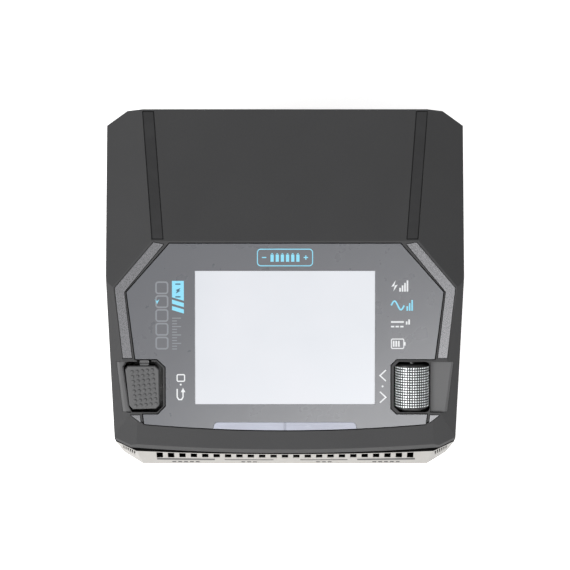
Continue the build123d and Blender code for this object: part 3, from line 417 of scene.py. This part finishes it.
def light_guide():
    """Milky light bar: soft light inside it, with faint flow lines."""
    colour = (0.37, 0.385, 0.455)
    finish = Finish("light_guide_look", 0.32, Subsurface_Weight=0.35, Subsurface_Scale=1.5 * mm)
    finish.shader.inputs["Subsurface Radius"].default_value = (1.0, 0.9, 1.0)
    flow = finish.noise(5 * mm, detail=3, stretch=(4, 1, 1))
    finish.link(finish.mix(finish.spread(flow), shade(colour, 0.9), shade(colour, 1.08)), "Base Color")
    finish.link(finish.spread(flow, 0.26, 0.4), "Roughness")
    finish.bump(finish.noise(0.5 * mm), 0.002 * mm, 0.12 * mm)
    return finish.material


def display():
    """The display face with a painted glow: it emits light in rows and columns of pixels over a slightly
    cloudy tone, standing in for a lit screen.
    """
    finish = Finish("display_look", 0.2, Emission_Strength=1.0)
    finish.shader.inputs["Base Color"].default_value = (0.02, 0.02, 0.022, 1)
    pixel = 0.219 * mm
    line_share = 0.12
    line_glow = (0.3, 0.3, 0.34, 1)
    dim, bright = (0.7, 0.725, 0.765, 1), (0.735, 0.75, 0.79, 1)
    across, along = finish.axis_parts()[:2]
    column = finish.math("FRACT", finish.math("DIVIDE", across, pixel))
    row = finish.math("FRACT", finish.math("DIVIDE", along, pixel * panel_normal.z))
    dark_line = finish.math("MAXIMUM", finish.ramp(column, 0.9, 0.95), finish.ramp(row, 0.9, 0.95))
    cloud = finish.noise(30 * mm, detail=2)
    painted_glow_tone = finish.mix(finish.spread(cloud), dim, bright)
    glow = finish.mix(finish.math("MULTIPLY", dark_line, line_share), painted_glow_tone, line_glow)
    # Painted glow: the face gives off light of its own
    finish.link(glow, "Emission Color")
    finish.link(finish.spread(cloud, 0.16, 0.26), "Roughness")
    return finish.material


def black_plastic():
    return moulded("black_plastic_look", (0.018, 0.018, 0.019), 0.45, grain=0.25 * mm, wear_and_highlight=2.2)


def board(name, mask, track, pad, coat):
    """Circuit board: solder mask over copper tracks, and tinned pads."""
    finish = Finish(name, 0.3, Coat_Weight=coat, Coat_Roughness=0.15)
    cell = 2.4 * mm
    tracks_in_cell = 3.0
    inputs = {"Vector": finish.place, "Scale": 1 / cell}
    cells = finish.add("ShaderNodeTexVoronoi", inputs, feature="F1", distance="CHEBYCHEV")
    ways = finish.math("FRACT", finish.math("MULTIPLY", cells.outputs["Distance"], tracks_in_cell))
    tracks = finish.ramp(ways, 0.62, 0.68)
    pads = finish.ramp(cells.outputs["Distance"], 0.1, 0.07)
    covered = finish.mix(tracks, mask, track)
    finish.link(finish.mix(pads, covered, pad), "Base Color")
    finish.link(pads, "Metallic")
    finish.link(finish.spread(finish.noise(3 * mm, detail=4), 0.24, 0.38), "Roughness")
    finish.bump(tracks, 0.02 * mm)
    return finish.material


def ribbon():
    """Flat flexible cable: white film over parallel conductors."""
    finish = Finish("ribbon_look", 0.35)
    conductor_pitch = 0.5 * mm
    film, wire = (0.68, 0.68, 0.66, 1), (0.42, 0.4, 0.37, 1)
    across = finish.math("FRACT", finish.math("DIVIDE", finish.axis_parts()[0], conductor_pitch))
    conductor = finish.math("MULTIPLY", finish.ramp(across, 0.3, 0.36), finish.ramp(across, 0.94, 0.88))
    soft = finish.math("MULTIPLY", conductor, finish.spread(finish.noise(4 * mm), 0.5, 0.8))
    finish.link(finish.mix(soft, film, wire), "Base Color")
    finish.link(finish.spread(finish.noise(2 * mm), 0.28, 0.45), "Roughness")
    finish.bump(conductor, 0.02 * mm)
    return finish.material


def ferrite():
    return moulded("ferrite_look", (0.035, 0.035, 0.038), 0.55, grain=0.3 * mm, depth=0.03 * mm, wear_and_highlight=2.5)


def can_sleeve():
    """Capacitor can: dark printed sleeve round the side and bare aluminium on the ends."""
    finish = Finish("can_sleeve_look", 0.35)
    facing = finish.add("ShaderNodeNewGeometry").outputs["Normal"]
    end = finish.math("ABSOLUTE", finish.add("ShaderNodeSeparateXYZ", {0: facing}).outputs[2])
    bare = finish.ramp(end, 0.85, 0.95)
    stretch = finish.noise(1.2 * mm, detail=3, stretch=(1, 1, 5))
    dark_blue, blue = (0.02, 0.022, 0.05, 1), (0.035, 0.038, 0.075, 1)
    aluminium = (0.75, 0.75, 0.76, 1)
    sleeve = finish.mix(finish.spread(stretch), dark_blue, blue)
    finish.link(finish.mix(bare, sleeve, aluminium), "Base Color")
    finish.link(bare, "Metallic")
    finish.link(finish.spread(stretch, 0.28, 0.42), "Roughness")
    finish.bump(stretch, 0.01 * mm, 0.1 * mm)
    return finish.material


def winding_tape():
    """Yellow polyester tape wound over wire: turns show through as soft ribs."""
    finish = Finish("winding_tape_look", 0.25, Coat_Weight=0.3)
    turn_pitch = 0.8 * mm
    deep_yellow, pale_yellow = (0.62, 0.42, 0.03, 1), (0.8, 0.58, 0.06, 1)
    turns = finish.math("SINE", finish.math("MULTIPLY", finish.axis_parts()[2], 2 * math.pi / turn_pitch))
    creases = finish.noise(1.5 * mm, detail=4)
    finish.link(finish.mix(finish.spread(creases), deep_yellow, pale_yellow), "Base Color")
    finish.link(finish.spread(creases, 0.2, 0.36), "Roughness")
    finish.bump(finish.math("ADD", finish.math("MULTIPLY", turns, 0.5), creases), 0.03 * mm)
    return finish.material


def label_foil():
    """Blank foil plate: fine brushing and a soft sheen."""
    finish = Finish("label_foil_look", 0.38, Metallic=0.75)
    lines = finish.noise(0.1 * mm, detail=4, stretch=(30, 1, 1))
    dull, bright = (0.42, 0.42, 0.43, 1), (0.56, 0.56, 0.57, 1)
    finish.link(finish.mix(finish.spread(lines), dull, bright), "Base Color")
    finish.link(finish.spread(lines, 0.3, 0.48), "Roughness")
    finish.bump(lines, 0.002 * mm, 0.08 * mm)
    return finish.material


def printed_ink(name, colour, roughness=0.45):
    """Screen-printed ink: a slightly uneven film with tiny pinholes."""
    finish = Finish(name, roughness)
    film = finish.noise(0.25 * mm, detail=3)
    thin = finish.ramp(film, 0.45, 0.75)
    finish.link(finish.mix(thin, shade(colour, 1.0), shade(colour, 0.86)), "Base Color")
    finish.link(finish.spread(film, roughness - 0.08, roughness + 0.1), "Roughness")
    finish.bump(film, 0.003 * mm)
    return finish.material


def knurled_metal():
    """The roller: satin metal on its studs, with painted shade, black and not metallic, on its rims and in
    the valleys between the studs.
    """
    finish = Finish("knurled_metal_look", 0.36)
    valley_depth = 0.28 * mm
    satin, bright = (0.84, 0.88, 0.89, 1), (0.93, 0.97, 0.98, 1)
    offset = finish.vector("SUBTRACT", finish.place, tuple(roller_middle))
    from_axis = finish.vector("CROSS_PRODUCT", offset, tuple(roller_axis))
    radius = finish.vector("LENGTH", from_axis, result="Value")
    along = finish.vector("DOT_PRODUCT", offset, tuple(roller_axis), "Value")
    in_band = finish.below(finish.math("ABSOLUTE", along), stud_band / 2)
    raised = finish.both_of(finish.above(radius, roller_waist + valley_depth, 0.08 * mm), in_band)
    polish = finish.noise(0.3 * mm, detail=3)
    metal_tone = finish.mix(finish.spread(polish), satin, bright)
    # Painted shade: black on the rims and in the valleys, metal only on the studs
    finish.link(finish.mix(raised, painted_shade_black, metal_tone), "Base Color")
    finish.link(finish.math("MULTIPLY", raised, 0.7), "Metallic")
    finish.link(finish.spread(polish, 0.3, 0.46), "Roughness")
    finish.bump(polish, 0.004 * mm, 0.06 * mm)
    return finish.material


slot_looks = {
    "dark_plastic": dark_plastic(),
    "grey_plastic": grey_plastic(),
    "lens_grey": lens_grey(),
    "silver_trim": silver_trim(),
    "plate_grey": plate_grey(),
    "strip_rubber": strip_rubber(),
    "foot_rubber": foot_rubber(),
    "light_guide": light_guide(),
    "display": display(),
    "frame_metal": metal("frame_metal_look", (0.5, 0.5, 0.51), 0.4, stretch=(12, 1, 1)),
    "steel": metal("steel_look", (0.58, 0.58, 0.58), 0.32),
    "nickel": metal("nickel_look", (0.78, 0.78, 0.75), 0.2),
    "black_plastic": black_plastic(),
    "board_green": board(
        "board_green_look", (0.012, 0.085, 0.035, 1), (0.02, 0.17, 0.07, 1), (0.6, 0.58, 0.52, 1), 0.3),
    "ribbon": ribbon(),
    "ferrite": ferrite(),
    "copper": metal("copper_look", (0.75, 0.38, 0.24), 0.35, stretch=(1, 1, 10), tarnish=0.6),
    "gold": metal("gold_look", (0.86, 0.64, 0.27), 0.24),
    "aluminium": metal("aluminium_look", (0.66, 0.66, 0.68), 0.38, stretch=(1, 14, 1)),
    "can_sleeve": can_sleeve(),
    "winding_tape": winding_tape(),
    "connector_yellow": moulded("connector_yellow_look", (0.72, 0.4, 0.015), 0.38, wear_and_highlight=1.1),
    "connector_cream": moulded("connector_cream_look", (0.68, 0.64, 0.54), 0.4, wear_and_highlight=1.08),
    "label_foil": label_foil(),
}

# The two boards under the panel carry black solder mask, so that nothing green shows round the controls.
black_board = board(
    "board_black_look", (0.003, 0.003, 0.003, 1), (0.006, 0.006, 0.006, 1), (0.03, 0.03, 0.03, 1), 0.0)
node_looks = {"control_board": black_board, "roller_board": black_board, "roller": knurled_metal()}

for name, node in frame["nodes"].items():
    for holder in node.material_slots:
        holder.material = node_looks.get(name, slot_looks[holder.material.name])


# ---------------------------------------------------------------- pieces


def piece(name, mesh_maker, material, body):
    """A new mesh object from a bmesh that mesh_maker fills, riding on a body."""
    mesh = bpy.data.meshes.new(name)
    built = bmesh.new()
    mesh_maker(built)
    bmesh.ops.recalc_face_normals(built, faces=built.faces)
    built.to_mesh(mesh)
    built.free()
    made = bpy.data.objects.new(name, mesh)
    scene.collection.objects.link(made)
    made.data.materials.append(material)
    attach(made, body)


# The roller's knurling: rows of small square studs round the waist between its two smooth rims.

stud_columns = 42
stud_rows = 16
stud_sunk = 0.08 * mm  # how far a stud's root lies in the waist
stud_below_rim = 0.06 * mm
stud_root = roller_waist - stud_sunk
stud_top = roller_rim - stud_below_rim
stud_pitch = 2 * math.pi * roller_waist / stud_columns
root_half = 0.4 * stud_pitch
top_half = 0.26 * stud_pitch


def add_stud(built, along, angle):
    """One square stud with sloping sides, at that place along the roller and that angle round it."""
    side = Vector((1, 0, 0))
    up = roller_axis.cross(side)
    outward = side * math.cos(angle) + up * math.sin(angle)
    around = roller_axis.cross(outward)
    centre = roller_middle + roller_axis * along
    rings = []
    for radius, half in ((stud_root, root_half), (stud_top, top_half)):
        corners = [(-half, -half), (half, -half), (half, half), (-half, half)]
        rings.append([
            built.verts.new(centre + outward * radius + around * a + roller_axis * b) for a, b in corners
        ])
    bottom, top = rings
    built.faces.new(bottom)
    built.faces.new(top)
    for index in range(4):
        after = (index + 1) % 4
        built.faces.new((bottom[index], bottom[after], top[after], top[index]))


def knurling(built):
    row_pitch = stud_band / stud_rows
    for row in range(stud_rows):
        along = (row - (stud_rows - 1) / 2) * row_pitch
        for column in range(stud_columns):
            add_stud(built, along, 2 * math.pi * column / stud_columns)


piece("roller_knurling", knurling, node_looks["roller"], "roller")


# ---------------------------------------------------------------- printed graphics

ink_top = 0.03  # millimetres above the printed surface
ink_sunk = 0.1  # millimetres that the film's underside lies below it


class Artwork:
    """Flat shapes on a surface, given as points in that surface's millimetres and made into thin films."""

    def __init__(self, place):
        self.place = place
        self.outlines = []

    def shape(self, points):
        self.outlines.append(points)

    def bar(self, left, top, right, bottom):
        self.shape([(left, top), (right, top), (right, bottom), (left, bottom)])

    def disc(self, x, y, radius, steps=20):
        turn = 2 * math.pi / steps
        self.shape([(x + radius * math.cos(i * turn), y + radius * math.sin(i * turn)) for i in range(steps)])

    def line(self, points, width, closed=False):
        """A line of even width through the points, with mitred corners."""
        count = len(points)
        sides = []
        for index, point in enumerate(points):
            before = points[index - 1] if closed or index else None
            after = points[(index + 1) % count] if closed or index < count - 1 else None
            sides.append(self.offset(point, before, after, width / 2))
        last = count if closed else count - 1
        for index in range(last):
            a, b = sides[index], sides[(index + 1) % count]
            self.shape([a[0], b[0], b[1], a[1]])

    @staticmethod
    def offset(point, before, after, half):
        """The two points beside this one, square to the line or along its mitre."""
        here = Vector(point)
        heading_in = (here - Vector(before)).normalized() if before else None
        heading_out = (Vector(after) - here).normalized() if after else None
        heading_in = heading_in or heading_out
        heading_out = heading_out or heading_in
        mean = (heading_in + heading_out).normalized()
        square = Vector((-mean.y, mean.x))
        reach = half / max(0.35, square.dot(Vector((-heading_out.y, heading_out.x))))
        return tuple(here + square * reach), tuple(here - square * reach)

    def rounded_frame(self, left, top, right, bottom, radius, width, steps=6):
        corners = ((right, top, 1, 1), (left, top, -1, 1), (left, bottom, -1, -1), (right, bottom, 1, -1))
        points = []
        for number, (x, y, inward_x, inward_y) in enumerate(corners):
            centre = (x - inward_x * radius, y + inward_y * radius)
            for step in range(steps + 1):
                angle = math.pi / 2 * (number + step / steps)
                points.append((centre[0] + radius * math.cos(angle), centre[1] - radius * math.sin(angle)))
        self.line(points, width, closed=True)

    def films(self, built):
        for points in self.outlines:
            under, over = [
                [built.verts.new(self.place(x, y, level)) for x, y in points]
                for level in (-ink_sunk, ink_top)
            ]
            built.faces.new(under)
            built.faces.new(over)
            for index in range(len(points)):
                after = (index + 1) % len(points)
                built.faces.new((under[index], under[after], over[after], over[index]))


# Every place below is in millimetres on its surface, and art.bar takes left, top, right and bottom.


def badge(art):
    """A row of six cells in series between a plus and a minus, in a rounded frame."""
    half, top, bottom = 10.7, 3.2, 9.7
    middle = (top + bottom) / 2
    art.rounded_frame(-half, top, half, bottom, 1.3, 0.36)
    cell_pitch, cell_wide, cell_tall = 2.0, 1.25, 3.3
    tip_half, tip_tall, tip_gap = 0.3, 0.35, 0.15
    cell_top = middle - cell_tall / 2
    for number in range(6):
        x = (number - 2.5) * cell_pitch
        art.bar(x - cell_wide / 2, cell_top + tip_tall + tip_gap, x + cell_wide / 2, middle + cell_tall / 2)
        art.bar(x - tip_half, cell_top, x + tip_half, cell_top + tip_tall)
    sign_x, arm, stroke = 8.1, 0.85, 0.42
    for x in (-sign_x, sign_x):
        art.bar(x - arm, middle - stroke / 2, x + arm, middle + stroke / 2)
    art.bar(sign_x - stroke / 2, middle - arm, sign_x + stroke / 2, middle - stroke / 2)
    art.bar(sign_x - stroke / 2, middle + stroke / 2, sign_x + stroke / 2, middle + arm)


def side_flash(art):
    """The slanted block and two slanted bars beside the window, and the small pointer outside them."""
    outer, inner, slant = -43.9, -39.3, 1.4
    for start, end, start_slant in ((15.6, 22.0, 0.0), (22.9, 24.5, slant), (25.4, 27.0, slant)):
        art.shape([(outer, start), (inner, start + start_slant), (inner, end + slant), (outer, end)])
    pointer_x, pointer_half = -49.7, 0.9
    pointer_top, pointer_waist, pointer_tip = 22.8, 23.5, 24.7
    art.shape([
        (pointer_x - pointer_half, pointer_top),
        (pointer_x, pointer_waist),
        (pointer_x + pointer_half, pointer_top),
        (pointer_x, pointer_tip),
    ])


def side_flash_holes(art):
    """Dark marks on the slanted block: a small bolt between two bars."""
    art.shape([(-40.6, 18.4), (-42.5, 19.2), (-41.9, 19.5), (-42.5, 20.6), (-40.6, 19.5), (-41.2, 19.3)])
    bar_left, bar_right, bar_tall = -42.6, -40.6, 0.5
    for top in (16.6, 21.6):
        art.bar(bar_left, top, bar_right, top + bar_tall)


def faint_gauge(art):
    """Five hollow segments of a level gauge, and fine scale marks beside them."""
    outer, inner, top, bottom = -50.5, -45.2, 15.6, 42.7
    segments, inset, gap = 5, 0.4, 1.0
    pitch = (bottom - top) / segments
    for number in range(segments):
        start = top + number * pitch + gap / 2
        art.rounded_frame(outer + inset, start, inner - inset, start + pitch - gap, 0.9, 0.62)
    scale_left, scale_top, scale_pitch, mark_tall = -43.9, 30.0, 1.1, 0.4
    long_right, short_right = -40.4, -42.0
    for number in range(12):
        start = scale_top + number * scale_pitch
        art.bar(scale_left, start, short_right if number % 3 else long_right, start + mark_tall)


def button_icon(art):
    """A return arrow, a dot and a square, read from the bottom up."""
    stem_left, stem_right, stroke = -42.0, -39.7, 0.5
    art.line([
        (stem_left, 58.0),
        (stem_left, 61.2),
        (stem_left + 0.6, 62.2),
        (stem_right - 0.6, 62.2),
        (stem_right, 61.2),
        (stem_right, 59.2),
    ], stroke)
    head_half, head_tip, head_foot = 0.9, 57.6, 59.3
    art.shape([
        (stem_right - head_half, head_foot),
        (stem_right, head_tip),
        (stem_right + head_half, head_foot),
    ])
    art.disc(-40.6, 56.3, 0.36)
    art.rounded_frame(-42.0, 52.4, -39.1, 55.0, 0.5, 0.46)


def bolt(art, x, top, tall):
    """A lightning bolt of two triangles, each point given as a share of its width and height."""
    wide = tall * 0.55
    for triangle in (((0.7, 0), (0, 0.58), (0.42, 0.52)), ((0.3, 1), (1, 0.4), (0.55, 0.47))):
        art.shape([(x + wide * right, top + tall * down) for right, down in triangle])


def level_steps(art, x, top, tall, count):
    """Bars that step up to the right."""
    pitch, wide = 0.95, 0.6
    for number in range(count):
        height = tall * (number + 1.5) / (count + 0.5)
        left = x + number * pitch
        art.bar(left, top + tall - height, left + wide, top + tall)


def battery(art, x, top, wide, tall, fill):
    """A lying battery outline with so many cells filled."""
    inset, knob = 0.2, 0.5
    art.rounded_frame(x + inset, top + inset, x + wide - inset, top + tall - inset, 0.5, 0.38)
    art.bar(x + wide, top + tall * 0.33, x + wide + knob, top + tall * 0.67)
    pitch = (wide - 1.2) / 4
    cell_inset, cell_margin, cell_gap = 0.75, 0.9, 0.35
    for number in range(fill):
        left = x + cell_inset + number * pitch
        art.bar(left, top + cell_margin, left + pitch - cell_gap, top + tall - cell_margin)


def right_rows_white(art):
    """First, third and fourth rows right of the window: power, direct current and cells."""
    bolt(art, 41.3, 15.3, 4.5)
    level_steps(art, 44.4, 15.4, 4.4, 4)
    left, right, stroke = 41.2, 46.2, 0.6
    solid_top, dashed_top = 31.4, 33.2
    dash_pitch, dash_wide = 1.8, 1.3
    art.bar(left, solid_top, right, solid_top + stroke)
    for number in range(3):
        start = left + number * dash_pitch
        art.bar(start, dashed_top, start + dash_wide, dashed_top + stroke)
    level_steps(art, 47.0, 30.7, 2.0, 2)
    battery(art, left, 38.2, 5.2, 4.1, 3)


def right_row_cyan(art):
    """Second row: an alternating-current wave."""
    left, middle, wide, swing, steps = 41.3, 25.2, 5.0, 1.7, 24
    wave = []
    for i in range(steps + 1):
        turn = 2 * math.pi * i / steps
        wave.append((left + wide * i / steps, middle - swing * math.sin(turn)))
    art.line(wave, 0.6)
    level_steps(art, 47.2, 23.1, 4.2, 3)


def roller_marks(art):
    """An arrow to the left, a dot and an arrow to the right, one below the other beside the roller."""
    left, right, arm, stroke = 36.95, 39.3, 2.15, 0.5
    back_tip, on_tip = 52.75, 61.3
    art.line([(right, back_tip - arm), (left, back_tip), (right, back_tip + arm)], stroke)
    art.line([(left, on_tip - arm), (right, on_tip), (left, on_tip + arm)], stroke)
    art.disc(38.0, 57.0, 0.38)


def port_brackets(art):
    """Heavy lines over the two balance ports on the front, and a thinner one over each power output."""
    thick, thin, pieces = (21.0, 19.3), (20.6, 19.6), 8
    spans = ((-50.3, -27.6, thick), (28.4, 51.1, thick), (-23.7, -4.5, thin), (6.0, 24.6, thin))
    for left, right, (top, bottom) in spans:
        wide = (right - left) / pieces
        for number in range(pieces):
            start = left + (right - left) * number / pieces
            art.bar(start, top, start + wide, bottom)


def port_marks(art):
    """A few short marks under each line, in place of lettering."""
    pitch, half, top, bottom = 2.3, 0.75, 17.9, 16.8
    for middle, count in ((-39.0, 5), (39.8, 5), (-14.1, 3), (15.3, 3)):
        for number in range(count):
            x = middle + (number - (count - 1) / 2) * pitch
            art.bar(x - half, top, x + half, bottom)


def on_flash(across, down, level=0.0):
    """A place on the slanted block's ink, which stands one film above the lens."""
    return on_panel(across, down, level + ink_top)


def printed(name, drawings, ink, place=on_panel):
    """The films of several drawings as one piece on the casing."""
    art = Artwork(place)
    for draw in drawings:
        draw(art)
    piece(name, art.films, ink, "casing")


white_ink = printed_ink("white_ink", (0.66, 0.67, 0.68))
cyan_ink = printed_ink("cyan_ink", (0.2, 0.56, 0.72))
faint_ink = printed_ink("faint_ink", (0.19, 0.2, 0.22))
dark_ink = printed_ink("dark_ink", (0.03, 0.09, 0.14))
label_ink = printed_ink("label_ink", (0.018, 0.017, 0.016))

printed("print_cyan", [badge, side_flash, right_row_cyan], cyan_ink)
printed("print_white", [button_icon, right_rows_white, roller_marks], white_ink)
printed("print_faint", [faint_gauge], faint_ink)
printed("print_front", [port_brackets, port_marks], label_ink, place=on_front)
printed("print_dark", [side_flash_holes], dark_ink, place=on_flash)


# ---------------------------------------------------------------- camera, floor and light

camera_elevation = math.radians(75.7)
camera_lens = 293.1
camera_place = Vector((0, -0.44974, 1.80601))

camera_data = bpy.data.cameras.new("camera")
camera_data.lens = camera_lens
camera_data.sensor_width = 36
camera = bpy.data.objects.new("camera", camera_data)
camera.location = camera_place
camera.rotation_euler = (math.pi / 2 - camera_elevation, 0, 0)
scene.collection.objects.link(camera)
scene.camera = camera


def area_light(name, place, target, size, power):
    data = bpy.data.lights.new(name, "AREA")
    data.shape = "RECTANGLE"
    data.size, data.size_y = size
    data.energy = power
    light = bpy.data.objects.new(name, data)
    light.location = place
    light.rotation_euler = (Vector(target) - Vector(place)).to_track_quat("-Z", "Y").to_euler()
    scene.collection.objects.link(light)


centre = (0, 0, 0.04)
area_light("key_softbox", (-1.0, -0.6, 0.9), centre, (0.9, 0.7), 15.0)
area_light("lens_softbox", (0.31, -1.01, 1.246), centre, (0.7, 0.6), 8.5)

white = (1, 1, 1, 1)
world_strength = 0.58
floor_glow = 0.58
floor_half = 3.0

world = bpy.data.worlds.new("studio")
scene.world = world
world.use_nodes = True
backdrop = world.node_tree.nodes["Background"]
backdrop.inputs["Color"].default_value = white
backdrop.inputs["Strength"].default_value = world_strength

floor_mesh = bpy.data.meshes.new("floor")
floor_corners = [(-floor_half, -floor_half, 0), (floor_half, -floor_half, 0)]
floor_corners += [(floor_half, floor_half, 0), (-floor_half, floor_half, 0)]
floor_mesh.from_pydata(floor_corners, [], [(0, 1, 2, 3)])
floor = bpy.data.objects.new("floor", floor_mesh)
scene.collection.objects.link(floor)
floor_finish = Finish("floor_look", 0.8, Emission_Strength=floor_glow)
floor_tone = floor_finish.spread(floor_finish.noise(20 * mm, detail=4))
floor_finish.link(floor_finish.mix(floor_tone, shade(white[:3], 0.86), shade(white[:3], 0.9)), "Base Color")
floor_finish.shader.inputs["Emission Color"].default_value = white
floor_mesh.materials.append(floor_finish.material)

scene.view_settings.view_transform = "Standard"
